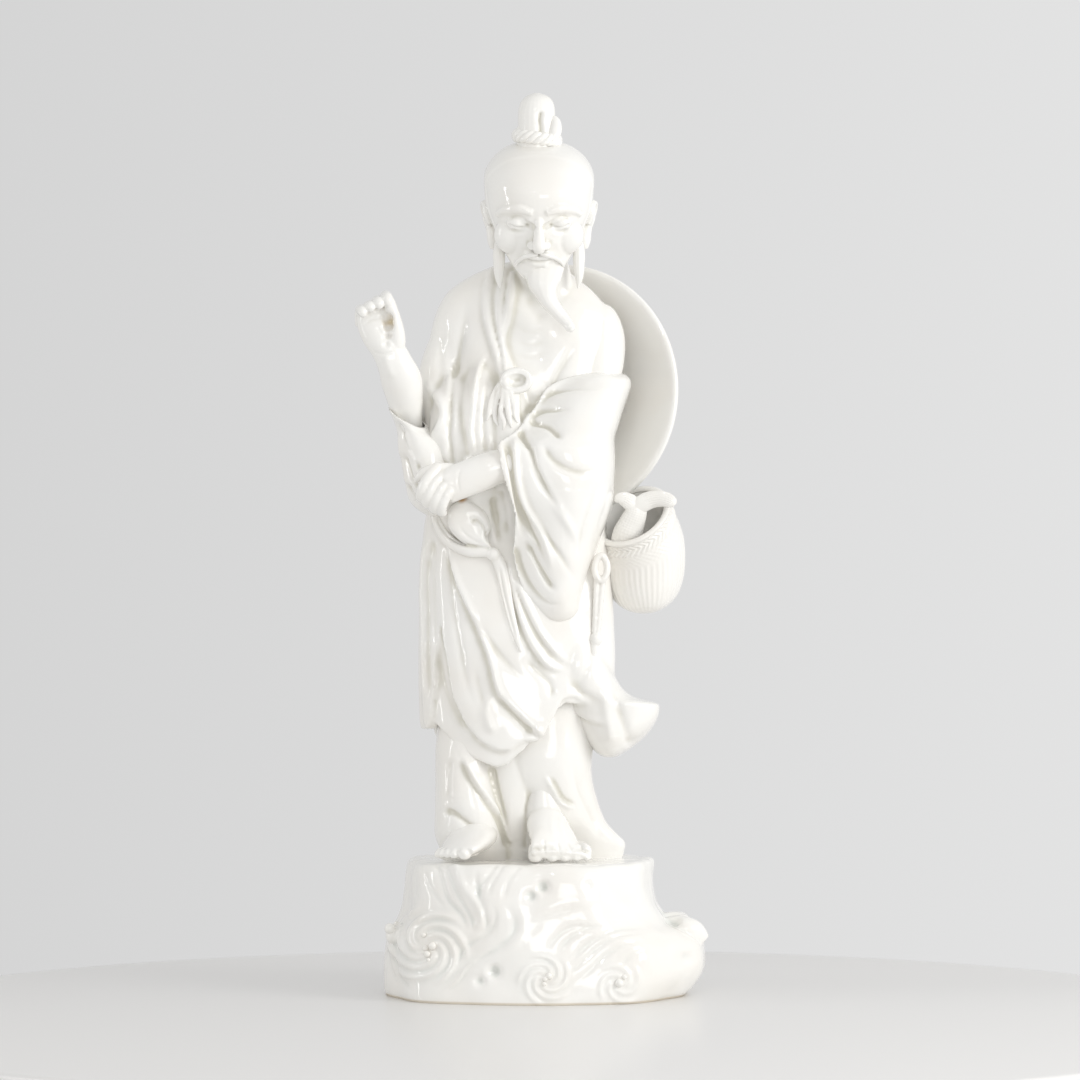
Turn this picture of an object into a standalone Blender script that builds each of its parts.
import math

import bmesh
import bpy
import numpy as np
from mathutils import Matrix, Vector

for old in list(bpy.data.objects):
    bpy.data.objects.remove(old, do_unlink=True)

# Driving sizes in metres
FIGURE_HEIGHT = 0.357
BASE_WIDTH = 0.150
BASE_DEPTH = 0.118
BASE_HEIGHT = 0.063
HAT_DIAMETER = 0.1165
HAT_WALL = 0.0030
CREEL_DIAMETER = 0.0415
CREEL_WALL = 0.0034
CORD_THICKNESS = 0.0036
GRAIN = 0.0014
TRIANGLES = 9400

# The figure's free form is drawn in steps, 765 from the soles to the top of the hair knot.
# Its front sheet has columns and rows of one step: column 544 is the middle, row 858 the soles.
STEP = FIGURE_HEIGHT / 765
SIGHT = 4650.0
EYE_X = -4.0
EYE_Z = 318.0


def sheet(points):
    return [(column - 544.0, 858.0 - row) for column, row in points]


# The front sheet is drawn as it is seen from an eye SIGHT steps away, so depth widens it a little
def stand(points):
    points = np.asarray(points, float)
    grow = (SIGHT + points[:, 1]) / SIGHT
    x = EYE_X + (points[:, 0] - EYE_X) * grow
    z = EYE_Z + (points[:, 2] - EYE_Z) * grow
    return np.column_stack((x, points[:, 1], z))


def seen(points):
    shrink = SIGHT / (SIGHT + points[:, 1])
    x = EYE_X + (points[:, 0] - EYE_X) * shrink
    z = EYE_Z + (points[:, 2] - EYE_Z) * shrink
    return np.column_stack((x, z))


# Curves through keyed values
def curve(keys, count):
    keys = np.asarray(keys, float)
    padded = np.vstack((2 * keys[0] - keys[1], keys, 2 * keys[-1] - keys[-2]))
    out = []
    for place in np.linspace(0, len(keys) - 1, count):
        index = min(int(place), len(keys) - 2)
        t = place - index
        a, b, c, d = padded[index:index + 4]
        bend = (2 * a - 5 * b + 4 * c - d) * t * t + (3 * b - a - 3 * c + d) * t ** 3
        out.append(0.5 * (2 * b + (c - a) * t + bend))
    return np.array(out)


def soft(value, low, high):
    t = np.clip((value - low) / (high - low), 0, 1)
    return t * t * (3 - 2 * t)


# Closed skins through rings of points
def skin(rings):
    work = bmesh.new()
    count = len(rings[0])
    turn = work.verts.layers.int.new("turn")
    made = bmesh.ops.create_circle(work, cap_ends=False, segments=count, radius=1)
    order = sorted(made["verts"], key=lambda v: round(math.atan2(v.co.y, v.co.x), 6) % math.tau)
    for index, vert in enumerate(order):
        vert[turn] = index
        vert.co = rings[0][index]
    edges = list(work.edges)
    for ring in rings[1:]:
        made = bmesh.ops.extrude_edge_only(work, edges=edges)["geom"]
        fresh = {item for item in made if isinstance(item, bmesh.types.BMVert)}
        for vert in fresh:
            vert.co = ring[vert[turn]]
        edges = [item for item in made if isinstance(item, bmesh.types.BMEdge)
                 and item.verts[0] in fresh and item.verts[1] in fresh]
    bmesh.ops.holes_fill(work, edges=list(work.edges), sides=0)
    bmesh.ops.recalc_face_normals(work, faces=list(work.faces))
    mesh = bpy.data.meshes.new("skin")
    work.to_mesh(mesh)
    work.free()
    return mesh


def ring_at(low_x, high_x, front, back, angles, square=2.3):
    c = np.cos(angles)
    s = np.sin(angles)
    x = (low_x + high_x) / 2 + (high_x - low_x) / 2 * np.sign(c) * np.abs(c) ** (2 / square)
    y = (front + back) / 2 + (back - front) / 2 * np.sign(s) * np.abs(s) ** (2 / square)
    return x, y


def table_at(rows, z):
    rows = np.asarray(rows, float)
    rows = rows[np.argsort(rows[:, 0])]
    return [np.interp(z, rows[:, 0], rows[:, k]) for k in range(1, rows.shape[1])]


# A body given by levels of height: left, right, front and back
def levels(rows, spin=72, layers=0, tilt=0.0, square=2.3):
    rows = curve(rows, layers or 3 * len(rows))
    angles = np.linspace(0, math.tau, spin, endpoint=False)
    rings = []
    for z, low_x, high_x, front, back in rows:
        x, y = ring_at(low_x, high_x, front, back, angles, square)
        rings.append(stand(np.column_stack((x, y, z + (x - (low_x + high_x) / 2) * tilt))))
    return skin(rings)


# A cloth layer over a body table, from a level down to a hem that rises and falls round it
def cloth(rows, top, hem, out, thick, spin=96, layers=26, square=2.3):
    angles = np.linspace(0, math.tau, spin, endpoint=False)
    keys = np.asarray(hem, float)
    keys = keys[np.argsort(keys[:, 0])]
    turn = np.degrees(angles)
    low = np.interp(turn, np.append(keys[:, 0], keys[0, 0] + 360), np.append(keys[:, 1], keys[0, 1]),
                    period=360)
    rings = []
    plan = [(0.0, -thick, 0)] + [(share, out, 0) for share in np.linspace(0, 1, layers)]
    plan += [(1.0, -thick, 0), (1.0, -thick - 3, 14)]
    for share, grow, rise in plan:
        z = np.minimum(top, top + (low - top) * share + rise)
        low_x, high_x, front, back = table_at(rows, z)
        x, y = ring_at(low_x - grow, high_x + grow, front - grow, back + grow, angles, square)
        rings.append(stand(np.column_stack((x, y, z))))
    return skin(rings)


# A limb along a keyed path: x, y, z, half width, half thickness
def limb(keys, spin=28, count=0, up=(0, 1, 0), free=False):
    keys = curve(keys, count or 6 * len(keys))
    path = keys[:, :3]
    ahead = np.gradient(path, axis=0)
    angles = np.linspace(0, math.tau, spin, endpoint=False)
    rings = []
    for index in range(len(path)):
        forward = Vector(ahead[index]).normalized()
        side = forward.cross(Vector(up)).normalized()
        over = side.cross(forward).normalized()
        wide = max(keys[index, 3], 0.2)
        deep = max(keys[index, 4], 0.2)
        ring = [path[index] + np.array(side) * wide * math.cos(a) + np.array(over) * deep * math.sin(a)
                for a in angles]
        rings.append(np.array(ring) if free else stand(ring))
    return skin(rings)


def blob(centre, radii, turn=(0, 0, 0)):
    work = bmesh.new()
    spin = Matrix.Rotation(math.radians(turn[2]), 4, "Z") @ Matrix.Rotation(math.radians(turn[1]), 4, "Y")
    spin = spin @ Matrix.Rotation(math.radians(turn[0]), 4, "X")
    size = Matrix.Diagonal((*radii, 1))
    bmesh.ops.create_icosphere(work, subdivisions=3, radius=1, matrix=Matrix.Translation(centre) @ spin @ size)
    for vert in work.verts:
        vert.co = stand([vert.co])[0]
    mesh = bpy.data.meshes.new("blob")
    work.to_mesh(mesh)
    work.free()
    return mesh


# A dish or pot turned about its own axis: radius and height pairs, out along the outside, back inside
def turned(profile, centre, axis, spin=96):
    swing = Vector((0, 0, 1)).rotation_difference(Vector(axis).normalized()).to_matrix()
    angles = np.linspace(0, math.tau, spin, endpoint=False)
    rings = []
    for radius, height in profile:
        ring = [Vector(centre) + swing @ Vector((radius * math.cos(a), radius * math.sin(a), height))
                for a in angles]
        rings.append(stand(ring))
    return skin(rings)


# One closed body out of overlapping skins
def fuse(meshes, grain):
    work = bmesh.new()
    for mesh in meshes:
        work.from_mesh(mesh)
    mesh = bpy.data.meshes.new("heap")
    work.to_mesh(mesh)
    work.free()
    heap = bpy.data.objects.new("heap", mesh)
    bpy.context.scene.collection.objects.link(heap)
    remesh = heap.modifiers.new("fuse", "REMESH")
    remesh.mode = "VOXEL"
    remesh.voxel_size = grain
    graph = bpy.context.evaluated_depsgraph_get()
    fused = bpy.data.meshes.new_from_object(heap.evaluated_get(graph))
    bpy.data.objects.remove(heap, do_unlink=True)
    return fused


def points_of(mesh):
    points = np.empty(len(mesh.vertices) * 3)
    mesh.vertices.foreach_get("co", points)
    return points.reshape(-1, 3)


def put_points(mesh, points):
    mesh.vertices.foreach_set("co", np.ascontiguousarray(points).ravel())
    mesh.update()


def normals_of(mesh):
    normals = np.empty(len(mesh.vertices) * 3)
    mesh.vertex_normals.foreach_get("vector", normals)
    return normals.reshape(-1, 3)


def relax(mesh, rounds, weight=0.5):
    edges = np.empty(len(mesh.edges) * 2, int)
    mesh.edges.foreach_get("vertices", edges)
    first, second = edges.reshape(-1, 2).T
    points = points_of(mesh)
    count = len(points)
    ends = np.bincount(first, minlength=count) + np.bincount(second, minlength=count)
    for _ in range(rounds):
        for pull in (weight, -weight * 1.04):
            total = np.column_stack([
                np.bincount(first, points[second, k], count) + np.bincount(second, points[first, k], count)
                for k in range(3)])
            points = points + pull * (total / ends[:, None] - points)
    put_points(mesh, points)


# Distance from each point of the sheet to a drawn line, with its side and its share of length
def beside(spots, line):
    line = curve(line, max(3 * len(line), 6)) if len(line) > 2 else np.asarray(line, float)
    start = line[:-1]
    step = line[1:] - start
    long = np.maximum(np.hypot(step[:, 0], step[:, 1]), 1e-6)
    run = np.concatenate(([0], np.cumsum(long)))
    rel = spots[:, None, :] - start[None]
    t = np.clip((rel * step[None]).sum(2) / long ** 2, 0, 1)
    miss = rel - t[..., None] * step[None]
    gap = np.hypot(miss[..., 0], miss[..., 1])
    near = gap.argmin(1)
    pick = np.arange(len(spots))
    cross = step[near, 0] * rel[pick, near, 1] - step[near, 1] * rel[pick, near, 0]
    share = (run[near] + t[pick, near] * long[near]) / run[-1]
    return gap[pick, near], np.sign(cross), share


# Folds: ("furrow" | "rib" | "lap", width, height, line, head taper, tail taper)
def fold(mesh, strokes, facing=-1, far=60.0, ends=0.18):
    points = points_of(mesh)
    normals = normals_of(mesh)
    spots = seen(points)
    lift = np.zeros(len(points))
    gate = soft(normals[:, 1] * facing, 0.02, 0.35) * (points[:, 1] * facing > -far)
    for kind, width, height, line in strokes:
        line = np.asarray(line, float)
        reach = width * 4
        low = line.min(0) - reach
        high = line.max(0) + reach
        inside = ((spots > low) & (spots < high)).all(1) & (gate > 0)
        pick = np.nonzero(inside)[0]
        if not len(pick):
            continue
        gap, side, share = beside(spots[pick], line)
        fade = soft(share, -0.02, ends) * soft(1.02 - share, 0, ends)
        if kind == "rib":
            form = np.exp(-(gap / width) ** 2)
        elif kind == "furrow":
            form = 0.45 * np.exp(-((gap - 1.9 * width) / width) ** 2) - np.exp(-(gap / width) ** 2)
        else:
            up = np.exp(-gap / (2.6 * width)) * (side > 0)
            form = (up - 0.25 * np.exp(-gap / width) * (side <= 0)) * soft(gap, 0, width * 0.5)
            form = form + 0.4 * np.exp(-(gap / (0.5 * width)) ** 2)
        lift[pick] += height * form * fade * gate[pick]
    put_points(mesh, points + normals * lift[:, None])


def inside_line(spots, outline):
    hit = np.zeros(len(spots), bool)
    outline = np.asarray(outline, float)
    for (ax, az), (bx, bz) in zip(outline, np.roll(outline, -1, axis=0)):
        spans = (az > spots[:, 1]) != (bz > spots[:, 1])
        with np.errstate(divide="ignore", invalid="ignore"):
            cut = ax + (spots[:, 1] - az) * (bx - ax) / (bz - az)
        hit ^= spans & (spots[:, 0] < cut)
    return hit


# The rock is drawn on the same sheet, 320 steps wide and 135 high
ROCK_ROWS = [
    (-141, -154, 136, -126, 122), (-135, -157, 139, -127, 124), (-128, -160, 147, -127, 125),
    (-112, -160, 158, -126, 125), (-98, -159, 160, -125, 124), (-82, -157, 157, -123, 122),
    (-70, -152, 142, -122, 120), (-60, -146, 124, -121, 118), (-46, -141, 112, -120, 116),
    (-30, -139, 108, -119, 114), (-16, -138, 107, -117, 112), (-5, -136, 107, -113, 108),
    (-0.5, -130, 104, -106, 101), (0, -118, 94, -94, 88),
]


def rock():
    angles = np.linspace(0, math.tau, 120, endpoint=False)
    rows = curve(ROCK_ROWS, 44)
    rings = []
    for z, low_x, high_x, front, back in rows:
        x, y = ring_at(low_x, high_x, front, back, angles, 2.25)
        wave = 1 + 0.018 * np.sin(5 * angles + 0.7) + 0.012 * np.sin(9 * angles + z * 0.02)
        middle = (low_x + high_x) / 2
        rings.append(np.column_stack((middle + (x - middle) * wave, y * wave, np.full(len(x), z))))
    # A lobe at the right with a hollow knob, and a smaller lump low at the left
    lobe = [(96, 4, -92, 44, 34), (120, 2, -84, 38, 30), (140, -2, -78, 26, 24), (152, -4, -76, 8, 8)]
    knob = [(110, -10, -78, 14, 12), (124, -18, -70, 16, 12), (138, -24, -68, 15, 12), (148, -24, -72, 12, 12),
            (156, -22, -82, 8, 10)]
    lump = [(-140, -40, -74, 12, 10), (-151, -42, -72, 8, 8), (-156, -42, -72, 4, 4)]
    return [skin(rings)] + [limb(path, up=(0, 0, 1), free=True) for path in (lobe, knob, lump)]


# Waves and runnels of the rock's front, in columns and rows of the sheet
def swirl(middle, size, arms, spin, turns=0.8, start=0.0):
    lines = []
    for arm in range(arms):
        first = start + math.tau * arm / arms
        points = []
        for share in np.linspace(0.16, 1, 9):
            angle = first + spin * turns * math.tau * share
            points.append((middle[0] + size * share * math.cos(angle),
                           middle[1] - size * 0.92 * share * math.sin(angle)))
        lines.append(points)
    return lines


RUNNELS = [
    [(439, 866), (447, 884), (459, 906), (468, 932)],
    [(453, 869), (458, 886), (474, 902), (485, 920), (484, 938)],
    [(470, 868), (477, 882), (492, 893), (499, 910)],
    [(502, 869), (489, 884), (491, 898), (497, 914)],
    [(425, 866), (428, 884), (438, 900), (446, 912)],
    [(505, 880), (514, 900), (508, 922), (493, 941), (478, 960)],
    [(560, 872), (551, 888), (556, 904), (575, 916)],
    [(600, 872), (596, 892), (606, 908), (628, 916)],
    [(636, 870), (632, 890), (640, 906), (656, 922)],
    [(415, 868), (414, 890), (408, 908)],
]
WAVES = [
    [(508, 984), (514, 956), (536, 934), (566, 926), (596, 930), (612, 946)],
    [(500, 976), (508, 946), (534, 922), (572, 914), (610, 918), (632, 936)],
    [(584, 976), (590, 956), (606, 944), (630, 940), (654, 948), (664, 966)],
    [(578, 960), (592, 940), (620, 930), (654, 934), (676, 950)],
    [(520, 990), (526, 968), (542, 954), (560, 952)],
    [(640, 992), (650, 974), (670, 964), (692, 966)],
    [(392, 966), (402, 984), (428, 994), (456, 988), (474, 972)],
    [(470, 998), (482, 984), (500, 976)],
]


def rock_relief(mesh):
    marks = []
    for line in RUNNELS:
        marks.append(("furrow", 4.2, 4.0, sheet(line)))
    for line in WAVES:
        marks.append(("lap", 4.0, 4.5, sheet(line)))
    for line in swirl((426, 944), 38, 6, -1, 0.62):
        marks.append(("rib", 3.4, 4.2, sheet(line)))
    for line in swirl((546, 980), 24, 4, 1, 0.6, 0.8):
        marks.append(("rib", 3.0, 3.4, sheet(line)))
    for line in swirl((617, 984), 22, 4, 1, 0.6, 0.3):
        marks.append(("rib", 3.0, 3.4, sheet(line)))
    fold(mesh, marks, -1, 140, 0.14)
    mirrored = [(kind, width * 1.3, height * 0.9, [(-x + 4, z) for x, z in line])
                for kind, width, height, line in marks if kind != "furrow"]
    fold(mesh, mirrored, 1, 140, 0.14)


# The man's clothed body: height, left, right, front, back
BODY = [
    (84, -104, 62, -58, 54), (110, -111, 63, -60, 56), (136, -117, 64, -61, 57), (208, -119, 65, -60, 56),
    (258, -119, 63, -58, 55), (300, -118, 60, -55, 52), (330, -114, 56, -52, 50), (370, -108, 56, -50, 50),
    (410, -105, 58, -50, 52), (450, -106, 60, -50, 54), (490, -114, 64, -48, 55), (518, -115, 68, -44, 54),
    (545, -108, 66, -37, 50), (566, -96, 50, -28, 42), (580, -77, 32, -18, 32), (591, -52, 20, -12, 24),
    (596, -34, 12, -8, 18),
]
UNDER_HEM = [
    (180, 140), (208, 134), (218, 124), (228, 110), (240, 100), (255, 91), (262, 94), (271, 108),
    (285, 140), (300, 156), (345, 150), (10, 128), (30, 116), (60, 112), (110, 112), (150, 118),
]
SIDE_HEM = [
    (120, 330), (140, 160), (158, 134), (180, 129), (200, 130), (206, 140), (213, 180), (219, 250), (226, 330),
]
FRONT_HEM = [
    (205, 300), (220, 236), (230, 162), (238, 136), (248, 118), (257, 109), (265, 108), (272, 117),
    (279, 117), (284, 126), (290, 143), (296, 160), (304, 162), (315, 154), (330, 148), (342, 146), (0, 148),
    (14, 170), (30, 300), (180, 300),
]
FLARE = [
    (101, 60, 72, -26, 30), (104, 54, 78, -36, 38), (112, 46, 90, -44, 42), (122, 38, 101, -48, 43),
    (132, 32, 109, -50, 44), (142, 26, 114, -51, 44), (150, 20, 115.5, -52, 44), (155, 17, 113, -53, 44),
    (160, 14, 92, -54, 45), (168, 10, 80, -56, 46), (178, 6, 73, -58, 46), (192, 2, 66, -60, 46),
    (214, 0, 58, -56, 46),
]
# Height, left, right, front, back, and the depth of the left edge, which lies on the chest or the arm
SLEEVE_LEFT = [
    (236, 6, 18, -60, -34, -54), (239, -2, 28, -66, -20, -58), (246, -8, 35, -71, -10, -62),
    (259, -17, 38, -77, 4, -66), (281, -26, 43, -84, 24, -72), (303, -31, 51, -90, 40, -78),
    (322, -30, 57, -94, 45, -84), (340, -29, 64, -98, 48, -92), (352, -31, 68, -101, 50, -97),
    (370, -37, 70, -104, 50, -102), (390, -43, 71, -106, 50, -104), (409, -46, 71, -104, 50, -101),
    (417, -44, 71, -100, 50, -94), (424, -33, 72, -95, 50, -84), (433, -23, 75, -88, 50, -70),
    (450, -10, 80, -77, 50, -58), (467, 1, 85, -66, 48, -50), (473, 10, 86.5, -60, 46, -46),
    (478, 22, 86, -54, 42, -42), (481, 36, 84, -46, 36, -38), (484, 50, 80, -34, 26, -30),
]
# The slid-down right sleeve, up to its slanting mouth
SLEEVE_RIGHT = [
    (340, -114, -106, -60, -50), (350, -128, -98, -70, -38), (358, -135, -95, -74, -26),
    (374, -139, -95, -73, -15), (392, -142, -95, -71, -9), (412, -145, -97, -68, -6),
    (432, -150, -112, -62, -8), (446, -154, -128, -56, -14), (456, -156, -146, -46, -24),
]


def torso_parts():
    parts = [
        levels([row for row in BODY if row[0] > 200], 84, 40),
        cloth(BODY, 300, UNDER_HEM, 1.0, 7),
        cloth(BODY, 330, FRONT_HEM, 6.0, 5),
        cloth(BODY, 330, SIDE_HEM, 5.5, 5),
        levels(FLARE, 60, 30),
        blob((0, 56, 470), (52, 34, 60)),
        # Cloth that blouses over the bent arm
        blob((-92, -32, 396), (26, 32, 92)), blob((-64, -34, 400), (30, 35, 98)),
        blob((-34, -36, 402), (28, 34, 94)),
    ]
    # Right upper arm and the sleeve that has slid down to its elbow
    parts.append(limb([(-68, 4, 546, 30, 30), (-83, 2, 510, 33, 33), (-93, -4, 474, 34, 33),
                       (-94, -10, 434, 33, 32), (-94, -18, 396, 32, 32)]))
    parts.append(levels(SLEEVE_RIGHT, 60, 40))
    # The edge of cloth that curves round the hollow beside the raised arm
    parts.append(limb([(-118, -38, 478, 5, 6), (-108, -42, 462, 7, 9), (-102, -46, 446, 8, 12),
                       (-106, -50, 432, 8, 12), (-112, -52, 420, 7, 10), (-114, -54, 409, 7, 10),
                       (-106, -56, 399, 7, 10), (-98, -56, 390, 8, 10)]))
    return parts


# Levels whose left part narrows to a flap of cloth at a depth of its own
def sleeve_parts(spin=84, layers=70, thick=6.0):
    angles = np.linspace(0, math.tau, spin, endpoint=False)
    leftward = np.clip(-np.cos(angles), 0, 1) ** 1.3
    rings = []
    for z, low_x, high_x, front, back, edge in curve(SLEEVE_LEFT, layers):
        x, y = ring_at(low_x, high_x, front, back, angles, 2.3)
        y = y * (1 - leftward) + (edge + thick * np.sin(angles)) * leftward
        rings.append(stand(np.column_stack((x, y, np.full(len(x), z)))))
    return [skin(rings)]


TROUSER_BACK = [
    (-6, -98, -48, -36, 30), (8, -104, -46, -46, 36), (24, -109, -42, -54, 38), (44, -109, -38, -56, 40),
    (70, -109, -34, -55, 42), (100, -109, -30, -52, 44), (140, -106, -24, -48, 44),
    (210, -104, -10, -46, 42),
]
TROUSER_FRONT = [
    (-6, -34, 76, -8, 38), (6, -36, 80, -12, 42), (16, -38, 81, -16, 44), (26, -39, 72, -20, 45),
    (38, -40, 61, -26, 46), (56, -42, 54, -34, 46), (76, -44, 49, -43, 46), (100, -46, 48, -48, 46),
    (140, -46, 50, -46, 46), (210, -48, 48, -44, 42),
]


def trouser_parts():
    middle = [(-6, -62, 20, -18, 34), (40, -66, 10, -32, 40), (100, -70, 4, -42, 44), (150, -70, 4, -42, 44)]
    return [levels(TROUSER_BACK, 60, 26), levels(TROUSER_FRONT, 60, 30), levels(middle, 40, 12)]


def foot_parts():
    parts = [limb([(0, -22, 92, 17, 17), (-1, -27, 66, 16, 17), (0, -30, 46, 18, 16), (2, -30, 30, 18, 15),
                   (3, -30, 14, 17, 14)]),
             limb([(1, -24, 42, 17, 16), (3, -38, 33, 21, 18), (8, -51, 22, 26, 15), (13, -62, 12, 30, 11),
                   (15.5, -69, 5.5, 31, 8), (16.5, -74, 2, 29, 5)], up=(0, 0.3, 1))]
    toes = [(-8, 8.8, 9), (8, 7.2, 7.4), (21, 6.8, 6.8), (32, 6.2, 6.4), (42, 5.6, 5.6)]
    for index, (x, wide, high) in enumerate(toes):
        tip = -70 + 2.2 * index
        parts.append(limb([(x * 0.7 + 2, -46, 10, wide, high), (x, -60, 5, wide, high * 0.9),
                           (x, tip, 1, wide * 0.94, high * 0.8), (x, tip - 4, -1, wide * 0.5, high * 0.4)],
                          up=(0, 0, 1)))
    parts.append(limb([(-66, -20, 26, 22, 18), (-72, -44, 20, 25, 16), (-78, -60, 14, 26, 12),
                       (-84, -73, 8, 24, 8.5), (-88, -81, 4, 20, 6)], up=(0, 0.3, 1)))
    for index, (x, wide) in enumerate([(-78, 7.6), (-87.5, 6), (-94, 5.4), (-99.5, 5), (-104, 4.4)]):
        parts.append(limb([(x + 8, -62, 9, wide, wide), (x, -76 + index * 2.4, 6.5, wide, wide * 0.9),
                           (x - 3, -87 + index * 3.2, 3, wide * 0.7, wide * 0.6)], up=(0, 0, 1)))
    return parts


def right_arm_parts():
    parts = [limb([(-126, -20, 404, 12, 12), (-134, -28, 430, 13, 14), (-138.5, -39, 456, 17.5, 18),
                   (-142.5, -49, 477, 20.5, 19), (-149, -56, 494, 18, 17), (-156, -60, 509, 17, 15),
                   (-161, -61, 520, 19.5, 14), (-165, -61, 532, 21, 12.5), (-167.5, -60, 543, 20, 11.5),
                   (-168, -59, 552, 15, 10), (-168, -59, 557, 6, 6)])]
    # Fingers curled over at the top, the thumb upright on the other side of the hollow
    curls = [(-183.5, 553.5, 539, 4.8), (-175.5, 557.5, 544, 5.2), (-167.0, 562.5, 547, 5.4), (-158.5, 567.5, 549, 5.2)]
    for x, top, tip, wide in curls:
        top = top - wide
        tip = tip + wide * 0.8
        parts.append(limb([(x, -50, top - 16, wide, wide), (x, -60, top, wide, wide), (x + 1, -69, top - 0.5, wide, wide),
                           (x + 2, -76, (top + tip) / 2 + 1, wide, wide), (x + 2.5, -77, tip, wide * 0.8, wide * 0.8)]))
    parts.append(limb([(-149, -60, 506, 8, 9), (-147, -64, 516, 8.2, 9), (-147.5, -69, 528, 7.4, 8),
                       (-149.5, -73, 540, 6.4, 7), (-152.5, -76, 551, 5.6, 6), (-155.5, -77, 562, 3, 3)]))
    return parts


def left_arm_parts():
    parts = [blob((42, 4, 526), (36, 32, 34)),
             limb([(40, 8, 562, 10, 12), (45, 6, 554, 22, 22), (48, 5, 540, 30, 28), (50, 2, 514, 31, 29),
                   (50, -4, 486, 28, 27), (44, -12, 458, 21, 21), (38, -20, 432, 14, 14)]),
             limb([(24, -58, 400, 17, 19), (-4, -70, 397, 17.5, 20), (-44, -81, 391.5, 17.5, 19),
                   (-64, -84, 384.5, 18.5, 17), (-84, -86, 377, 18, 14), (-98, -86, 372, 18, 12)], up=(0, 1, 0))]
    parts.append(blob((-102, -85, 372), (16, 11, 18)))
    for x, z, wide in ((-96, 366, 6), (-103, 369, 6.4), (-110, 374, 6.4), (-116, 380, 6.2)):
        parts.append(limb([(x + 11, -86, z + 12, wide, wide), (x + 1, -94, z + 1, wide, wide),
                           (x - 5, -95, z - 10, wide, wide), (x - 7, -89, z - 18, wide, wide),
                           (x - 5, -80, z - 21, wide * 0.8, wide * 0.8)]))
    parts.append(limb([(-92, -82, 388, 7, 7), (-106, -87, 389, 6.4, 6), (-118, -88, 386, 5.6, 5.4),
                       (-129, -83, 376, 3, 3)]))
    return parts


# The head has its own frame: the middle between the ears, tipped forward a little
HEAD_AT = (-5, -26, 649)
HEAD_TIP = 17
SKULL = [
    (-62, -12, 12, -50, -26), (-58, -19, 19, -56, -10), (-48, -28, 28, -58, 10), (-34, -37, 37, -58, 34),
    (-16, -45, 45, -58, 52), (2, -52, 52, -59, 62), (18, -54, 54, -60, 67), (34, -54, 54, -58, 68),
    (47, -47, 47, -48, 60), (57, -36, 36, -34, 44), (63, -22, 22, -18, 28), (65.5, -8, 8, -4, 12),
]


def head_frame(mesh):
    tip = Matrix.Translation(HEAD_AT) @ Matrix.Rotation(math.radians(HEAD_TIP), 4, "X")
    points = points_of(mesh)
    turned_points = np.array([tip @ Vector(point) for point in points])
    put_points(mesh, stand(turned_points))
    return mesh


def head_parts():
    angles = np.linspace(0, math.tau, 56, endpoint=False)
    rings = []
    for z, low_x, high_x, front, back in curve(SKULL, 40):
        x, y = ring_at(low_x, high_x, front, back, angles, 2.15)
        rings.append(np.column_stack((x, y, np.full(len(x), z))))
    parts = [skin(rings)]

    def own(mesh):
        return mesh

    def ball(centre, radii):
        work = bmesh.new()
        bmesh.ops.create_icosphere(work, subdivisions=3, radius=1,
                                   matrix=Matrix.Translation(centre) @ Matrix.Diagonal((*radii, 1)))
        mesh = bpy.data.meshes.new("ball")
        work.to_mesh(mesh)
        work.free()
        return mesh

    parts += [
        ball((0, -52, 6), (34, 11, 8)),
        ball((0, -62, -20), (10, 9, 9)),
        limb([(0, -56, 4, 5, 5), (0, -63, -8, 6, 6), (0, -67, -18, 8.5, 7), (0, -62, -25, 7, 5)], free=True),
        ball((-23, -48, -16), (15, 12, 13)),
        ball((23, -48, -16), (15, 12, 13)),
        ball((0, -55, -38), (16, 8, 8)),
        ball((0, -50, -55), (14, 12, 9)),
    ]
    for side in (-1, 1):
        parts.append(limb([(side * 46, 2, 6, 5, 9), (side * 51, 0, -4, 5.5, 11), (side * 50, -2, -18, 5, 9),
                           (side * 47, -6, -34, 5.5, 8), (side * 45, -6, -44, 3, 4)], up=(0, 1, 0), free=True))
        parts.append(limb([(side * 46, -14, -30, 7, 9), (side * 45, -20, -44, 8, 9), (side * 42, -24, -58, 6, 7),
                           (side * 39, -26, -74, 3.4, 4), (side * 38, -27, -82, 1, 1)], free=True))
        parts.append(limb([(side * 2, -67, -29, 3, 3), (side * 12, -66, -32, 4, 4), (side * 22, -60, -39, 3.4, 3.6),
                           (side * 28, -54, -48, 1.2, 1.2)], up=(0, 0, 1), free=True))
    return [head_frame(mesh) for mesh in parts]


def head_extras():
    return [
        # Neck, goatee and the hair knot with its tie
        limb([(0, -2, 566, 34, 30), (-1, -8, 582, 27, 26), (-3, -14, 600, 25, 25), (-5, -20, 616, 26, 26)]),
        limb([(2, -56, 594, 19, 9), (-0.5, -63, 577, 16.5, 10), (1.5, -66, 565, 11, 9), (6, -67, 555.5, 8.6, 8),
              (12, -67, 548, 7.2, 7), (18.5, -67, 540.5, 6.2, 6.2), (23.5, -69, 534.5, 5.4, 5.4),
              (26.5, -72, 530, 4.6, 4.6), (28, -75, 528, 2.4, 2.4)]),
        limb([(-7, -30, 700, 22, 22), (-7, -31, 712, 24, 24), (-7, -32, 722, 23.5, 23), (-8, -32, 729, 20, 20),
              (-8, -32, 736, 18.5, 18), (-8, -32, 746, 20.5, 19), (-8, -32, 756, 17, 16), (-8, -32, 762, 10, 9),
              (-8, -32, 765, 3, 3)], spin=36),
    ]


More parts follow.
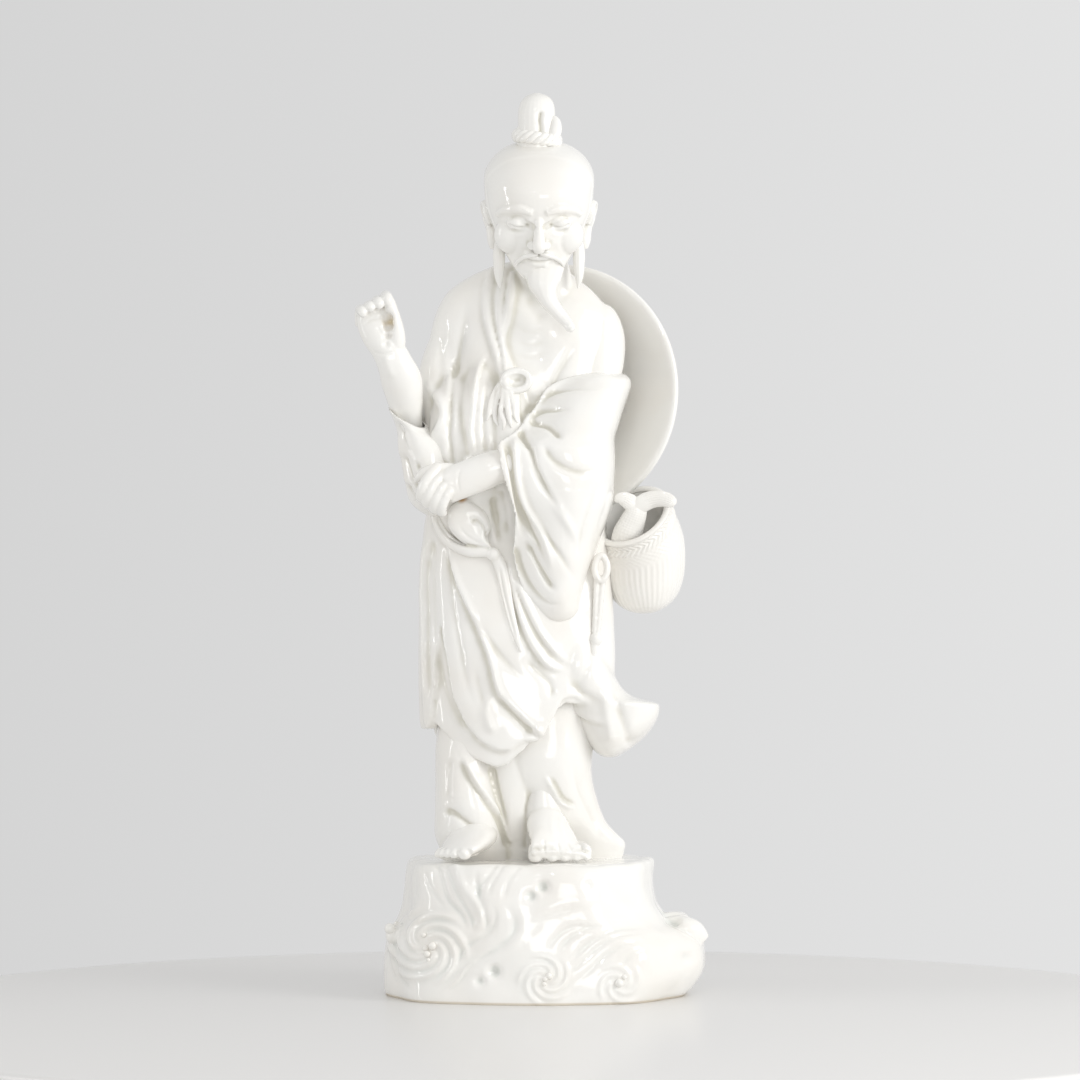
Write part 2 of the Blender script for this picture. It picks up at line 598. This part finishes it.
def hat_part():
    radius = HAT_DIAMETER / 2 / STEP
    wall = HAT_WALL / STEP
    deep = radius * 0.34
    profile = []
    for share in np.linspace(0.02, 1, 16):
        profile.append((radius * share, -deep * (1 - share ** 1.55) - wall * 0.5))
    profile.append((radius + wall * 0.25, 0))
    for share in np.linspace(1, 0.02, 16):
        profile.append((radius * share - wall * 0.4, -deep * (1 - share ** 1.55) + wall * 0.5))
    return turned(profile, (16, 46, 466), (-0.38, -0.92, 0.05), 96)


# Rings about the creel's bent axis: centre, axis, and radius as a share of half its diameter
CREEL_RINGS = [
    (104, 14, 247, -0.10, -0.35, 0.93, 0.04), (103.5, 14, 251, -0.10, -0.35, 0.93, 0.41),
    (102.5, 13, 261, -0.12, -0.37, 0.92, 0.71), (101, 11, 277, -0.15, -0.40, 0.90, 0.89),
    (99, 8, 295, -0.20, -0.45, 0.86, 0.98), (97, 4, 313, -0.27, -0.52, 0.80, 0.99),
    (93, -1, 327, -0.34, -0.58, 0.73, 0.96), (89.5, -4, 337, -0.38, -0.62, 0.68, 0.93),
    (88, -6, 343, -0.38, -0.62, 0.68, 0.93),
]


def creel_parts():
    wall = CREEL_WALL / STEP
    angles = np.linspace(0, math.tau, 56, endpoint=False)
    stations = [(*row[:6], row[6] * CREEL_DIAMETER / 2 / STEP) for row in curve(CREEL_RINGS, 34)]
    inner = [(*row[:6], row[6] - wall) for row in reversed(stations[12:])]
    inner.append((*inner[-1][:6], 1.0))
    rings = []
    for x, y, z, ax, ay, az, reach in stations + inner:
        swing = Vector((0, 0, 1)).rotation_difference(Vector((ax, ay, az)).normalized()).to_matrix()
        ring = [Vector((x, y, z)) + swing @ Vector((reach * math.cos(a), reach * math.sin(a), 0)) for a in angles]
        rings.append(stand(ring))
    parts = [skin(rings), blob((66, 18, 300), (22, 20, 30))]
    # The fish stands head down in the creel with its two-lobed tail over the rim
    parts.append(limb([(80, 4, 290, 13, 12), (82, -10, 308, 16, 12), (84, -18, 323, 15.5, 10),
                       (88, -22, 335, 13, 8), (92, -25, 345, 11, 6.5), (94, -26, 355, 8, 5)], up=(0, 1, 0)))
    parts.append(limb([(90, -25, 346, 8, 5), (98, -28, 354, 9, 4.6), (108, -30, 358.5, 8.4, 4.4),
                       (119, -33, 359, 7.6, 4), (127, -35, 356, 6.4, 4), (131, -35, 353, 3, 3)], up=(0, 1, 0)))
    parts.append(limb([(94, -25, 346, 8, 5), (88, -27, 354, 8.4, 4.4), (81, -27, 358.5, 7.2, 4),
                       (75, -26, 359, 5.6, 4), (71, -25, 357, 3, 3)], up=(0, 1, 0)))
    return parts


def ring_path(x, y, z, wide, high, thick):
    return [(x + wide * math.cos(a), y, z + high * math.sin(a), thick, thick)
            for a in np.linspace(0, math.tau, 13)]


def cord_parts():
    thick = CORD_THICKNESS / 2 / STEP
    parts = [limb(ring_path(57, -36, 290, 6.4, 12, thick), 16, 48)]
    parts.append(limb([(55, -32, 282, thick * 1.6, thick), (54, -32, 256, thick * 1.5, thick),
                       (53, -33, 232, thick * 1.4, thick), (51, -34, 206, 2, 2)], 20, 20))
    parts.append(blob((52, -34, 219), (7, 7, 8)))
    return parts


# A flat cushion of clay with an outline drawn on the sheet
def pillow(outline, middle, depth, thick):
    edge = curve(sheet(outline + outline[:1]), 49)[:-1]
    centre = np.array(sheet([middle])[0])
    rings = []
    for side in (-1, 1):
        for share in (np.linspace(0.02, 1, 7) if side < 0 else np.linspace(0.98, 0.02, 7)):
            spots = centre + (edge - centre) * share
            y = depth + side * thick * math.sqrt(1 - share ** 3)
            rings.append(stand(np.column_stack((spots[:, 0], np.full(len(spots), y), spots[:, 1]))))
    return skin(rings)


def bow_parts():
    parts = [limb(ring_path(-27.5, -56, 477.5, 12.6, 9.2, 4.6), 16, 48)]
    parts.append(pillow([(516.5 + 12 * math.cos(a), 380.5 + 9 * math.sin(a)) for a in np.radians(range(0, 360, 24))],
                        (516.5, 380.5), -53, 4))
    parts.append(blob((-39, -55, 476), (6, 7, 6)))
    for end_x, end_z in ((-55, 444), (-48, 438), (-40, 434), (-29, 436)):
        parts.append(limb([(-40, -53, 476, 3, 3), ((end_x - 42) / 2, -54, (end_z + 474) / 2, 3.6, 3.4),
                           (end_x, -53, end_z, 3.6, 3.4), (end_x, -52, end_z - 6, 1.5, 1.5)]))
    # Sash round the waist with its flat bow and hanging end
    parts.append(limb([(-110, -44, 350, 5, 5), (-107, -50, 337, 6, 5), (-100, -56, 323, 6.5, 5.5),
                       (-89, -60, 313, 6.5, 5.5), (-75, -62, 307, 6.5, 5.5), (-60, -63, 306, 6.5, 5.5),
                       (-48, -64, 303, 6, 5)], up=(0, 1, 0)))
    parts.append(pillow([(492, 549), (488, 537), (491, 526), (486, 513), (477, 504), (466, 499), (456, 502), (449, 509),
                         (447, 519), (450, 530), (459, 540), (470, 546), (482, 548)], (470, 526), -63, 7))
    parts.append(blob((-51, -65, 304), (7, 6, 7)))
    parts.append(limb([(-48, -65, 302, 5, 4), (-43, -66, 290, 6, 4.4), (-39, -67, 274, 6, 4.2), (-36, -68, 256, 5.4, 4),
                       (-32, -68, 238, 5, 3.6), (-27, -68, 220, 4, 3), (-23, -68, 207, 2, 2)]))
    return parts


# Folds of the robe, in columns and rows of the sheet
ROBE_FOLDS = [
    ("furrow", 4.5, 4.5, [(481, 292), (480, 304), (478, 330), (472, 356), (466, 384)]),
    ("furrow", 4.0, 3.6, [(491, 340), (484, 356), (472, 366), (470, 384)]),
    ("furrow", 4.0, 4.0, [(462, 340), (456, 366), (450, 394), (452, 414)]),
    ("furrow", 4.0, 3.6, [(445, 330), (441, 352), (443, 384), (447, 414)]),
    ("furrow", 4.6, 5.0, [(416, 412), (420, 426), (429, 444), (446, 464), (458, 474)]),
    ("furrow", 4.0, 4.0, [(466, 384), (470, 404), (478, 424), (490, 440)]),
    ("lap", 3.6, 4.0, [(515, 276), (512, 300), (508, 320), (500, 338), (498, 352)]),
    ("rib", 3.0, 3.0, [(488, 276), (487, 300), (487, 320), (492, 346), (500, 374)]),
    ("rib", 2.6, 2.2, [(496, 278), (498, 320), (503, 348), (508, 370)]),
    ("furrow", 4.0, 4.0, [(398, 424), (404, 452), (410, 478), (418, 498)]),
    ("furrow", 5.0, 5.0, [(432, 556), (433, 600), (436, 640), (442, 680), (452, 716)]),
    ("furrow", 5.0, 4.5, [(448, 548), (453, 580), (464, 612), (482, 642), (504, 662)]),
    ("furrow", 5.5, 6.0, [(484, 646), (492, 670), (506, 694), (520, 710), (530, 722)]),
    ("furrow", 5.0, 4.5, [(492, 560), (500, 590), (508, 622), (520, 654)]),
    ("furrow", 5.5, 5.0, [(505, 550), (510, 588), (520, 612), (536, 632), (560, 658)]),
    ("furrow", 5.0, 5.0, [(529, 546), (542, 572), (556, 592), (574, 610)]),
    ("furrow", 5.0, 4.5, [(524, 656), (540, 670), (560, 680)]),
    ("furrow", 4.5, 4.0, [(462, 600), (462, 640), (470, 676), (484, 706)]),
    ("furrow", 5.0, 5.0, [(604, 604), (596, 640), (588, 668), (576, 690)]),
    ("furrow", 4.5, 4.5, [(560, 640), (564, 668), (568, 692), (580, 712)]),
    ("furrow", 5.0, 4.0, [(606, 666), (612, 692), (626, 716), (634, 736)]),
    ("furrow", 4.5, 4.0, [(426, 560), (424, 620), (427, 680), (426, 716)]),
]
BACK_FOLDS = [
    ("furrow", 6, 5, [(470, 430), (480, 520), (474, 610), (486, 720)]),
    ("furrow", 6, 5, [(520, 560), (514, 620), (530, 690), (524, 750)]),
    ("furrow", 6, 5, [(570, 540), (576, 610), (560, 680), (570, 740)]),
    ("furrow", 6, 4, [(440, 520), (446, 600), (438, 680)]),
    ("furrow", 6, 4, [(600, 560), (606, 620), (596, 690)]),
]
CHEST = [(513, 286), (510, 312), (503, 338), (506, 352), (513, 372), (518, 398), (521, 425), (545, 402),
         (570, 388), (600, 382), (640, 384), (640, 330), (600, 280), (560, 262), (520, 262)]
SLEEVE_FOLDS = [
    ("furrow", 3.6, 3.6, [(530, 404), (541, 394), (556, 389), (588, 386)]),
    ("furrow", 4.0, 4.0, [(532, 413), (552, 408), (580, 408)]),
    ("furrow", 4.4, 4.6, [(533, 423), (548, 428), (562, 438), (574, 452)]),
    ("furrow", 5.6, 7.0, [(525, 430), (529, 448), (538, 470), (552, 498), (566, 520)]),
    ("furrow", 5.0, 5.0, [(546, 440), (556, 456), (572, 468), (596, 469)]),
    ("furrow", 4.6, 5.0, [(515, 434), (513, 458), (520, 488), (532, 514), (548, 540)]),
    ("furrow", 5.0, 4.6, [(584, 400), (590, 430), (602, 452)]),
    ("furrow", 5.0, 4.6, [(566, 520), (578, 548), (578, 580)]),
    ("furrow", 5.0, 4.6, [(600, 480), (594, 510), (584, 532)]),
    ("furrow", 4.0, 4.0, [(600, 382), (606, 398), (607, 420)]),
]
TROUSER_FOLDS = [
    ("furrow", 5.0, 5.0, [(458, 752), (472, 780), (492, 808), (508, 838)]),
    ("furrow", 6.0, 8.0, [(494, 764), (500, 792), (508, 820), (514, 846)]),
    ("furrow", 4.0, 4.0, [(440, 810), (454, 812), (470, 824), (488, 833)]),
    ("furrow", 4.6, 4.6, [(548, 776), (556, 792), (567, 804), (580, 808)]),
    ("furrow", 5.0, 5.0, [(572, 760), (580, 790), (594, 816), (606, 838)]),
    ("furrow", 4.6, 4.0, [(446, 764), (444, 786), (452, 804)]),
]


def sink_chest(mesh):
    points = points_of(mesh)
    normals = normals_of(mesh)
    spots = seen(points)
    outline = curve(sheet(CHEST + CHEST[:1]), 90)
    inside = inside_line(spots, outline)
    gap, _, _ = beside(spots, outline)
    depth = soft(np.where(inside, gap, 0), 0, 4.5) * 6.5
    front = soft(-normals[:, 1], 0.0, 0.3) * (points[:, 1] < 30)
    put_points(mesh, points - normals * (depth * front)[:, None])


def marks(folds):
    return [(kind, width, height, sheet(line)) for kind, width, height, line in folds]


def to_metres(mesh, wide, deep, high):
    points = points_of(mesh)
    put_points(mesh, points * (wide, deep, high))
    return mesh


def whole():
    stone = fuse(rock(), 3.2)
    relax(stone, 2)
    rock_relief(stone)
    points = points_of(stone)
    put_points(stone, points * (BASE_WIDTH / 320, BASE_DEPTH / 252, BASE_HEIGHT / 135))

    robe = fuse(torso_parts(), 3.2)
    relax(robe, 3)
    sink_chest(robe)
    fold(robe, marks(ROBE_FOLDS), -1, 30)
    fold(robe, marks(BACK_FOLDS), 1, 40)

    sleeve = fuse(sleeve_parts(), 3.0)
    relax(sleeve, 2)
    fold(sleeve, marks(SLEEVE_FOLDS), -1, 30)

    legs = fuse(trouser_parts(), 3.0)
    relax(legs, 2)
    fold(legs, marks(TROUSER_FOLDS), -1, 30)

    man = [robe, sleeve, legs, hat_part(), *foot_parts(), *right_arm_parts(), *left_arm_parts(),
           *head_parts(), *head_extras(), *creel_parts(), *cord_parts(), *bow_parts()]
    return [stone] + [to_metres(mesh, STEP, STEP, STEP) for mesh in man]


def main():
    mesh = fuse(whole(), GRAIN)
    relax(mesh, 1)
    work = bmesh.new()
    work.from_mesh(mesh)
    islands = []
    left = set(work.verts)
    while left:
        seed = left.pop()
        island = {seed}
        stack = [seed]
        while stack:
            for edge in stack.pop().link_edges:
                for vert in edge.verts:
                    if vert in left:
                        left.discard(vert)
                        island.add(vert)
                        stack.append(vert)
        islands.append(island)
    islands.sort(key=len)
    print("islands", [len(island) for island in islands][-6:])
    for island in islands[:-1]:
        bmesh.ops.delete(work, geom=list(island), context="VERTS")
    work.to_mesh(mesh)
    work.free()

    body = bpy.data.objects.new("fisherman_figure", mesh)
    bpy.context.scene.collection.objects.link(body)
    thin = body.modifiers.new("thin", "DECIMATE")
    thin.ratio = TRIANGLES / (2 * len(mesh.polygons))
    graph = bpy.context.evaluated_depsgraph_get()
    final = bpy.data.meshes.new_from_object(body.evaluated_get(graph))
    body.modifiers.clear()
    work = bmesh.new()
    work.from_mesh(final)
    floor = -BASE_HEIGHT
    everything = list(work.verts) + list(work.edges) + list(work.faces)
    cut = bmesh.ops.bisect_plane(work, geom=everything, dist=1e-6, plane_co=(0, 0, floor), plane_no=(0, 0, 1),
                                 clear_inner=True)
    rim = [item for item in cut["geom_cut"] if isinstance(item, bmesh.types.BMEdge)]
    bmesh.ops.remove_doubles(work, verts=list({vert for edge in rim for vert in edge.verts}), dist=1e-4)
    rim = [edge for edge in work.edges if edge.is_boundary]
    bmesh.ops.holes_fill(work, edges=rim, sides=0)
    bmesh.ops.triangulate(work, faces=list(work.faces))
    bmesh.ops.translate(work, verts=list(work.verts), vec=(0, 0, -floor))
    bmesh.ops.recalc_face_normals(work, faces=list(work.faces))
    work.to_mesh(final)
    work.free()
    body.data = final
    print("triangles", len(final.polygons))

    glaze = bpy.data.materials.new("white glazed porcelain")
    glaze.use_nodes = True
    shader = glaze.node_tree.nodes["Principled BSDF"]
    shader.inputs["Base Color"].default_value = (0.86, 0.85, 0.80, 1)
    shader.inputs["Roughness"].default_value = 0.12
    final.materials.clear()
    final.materials.append(glaze)


main()
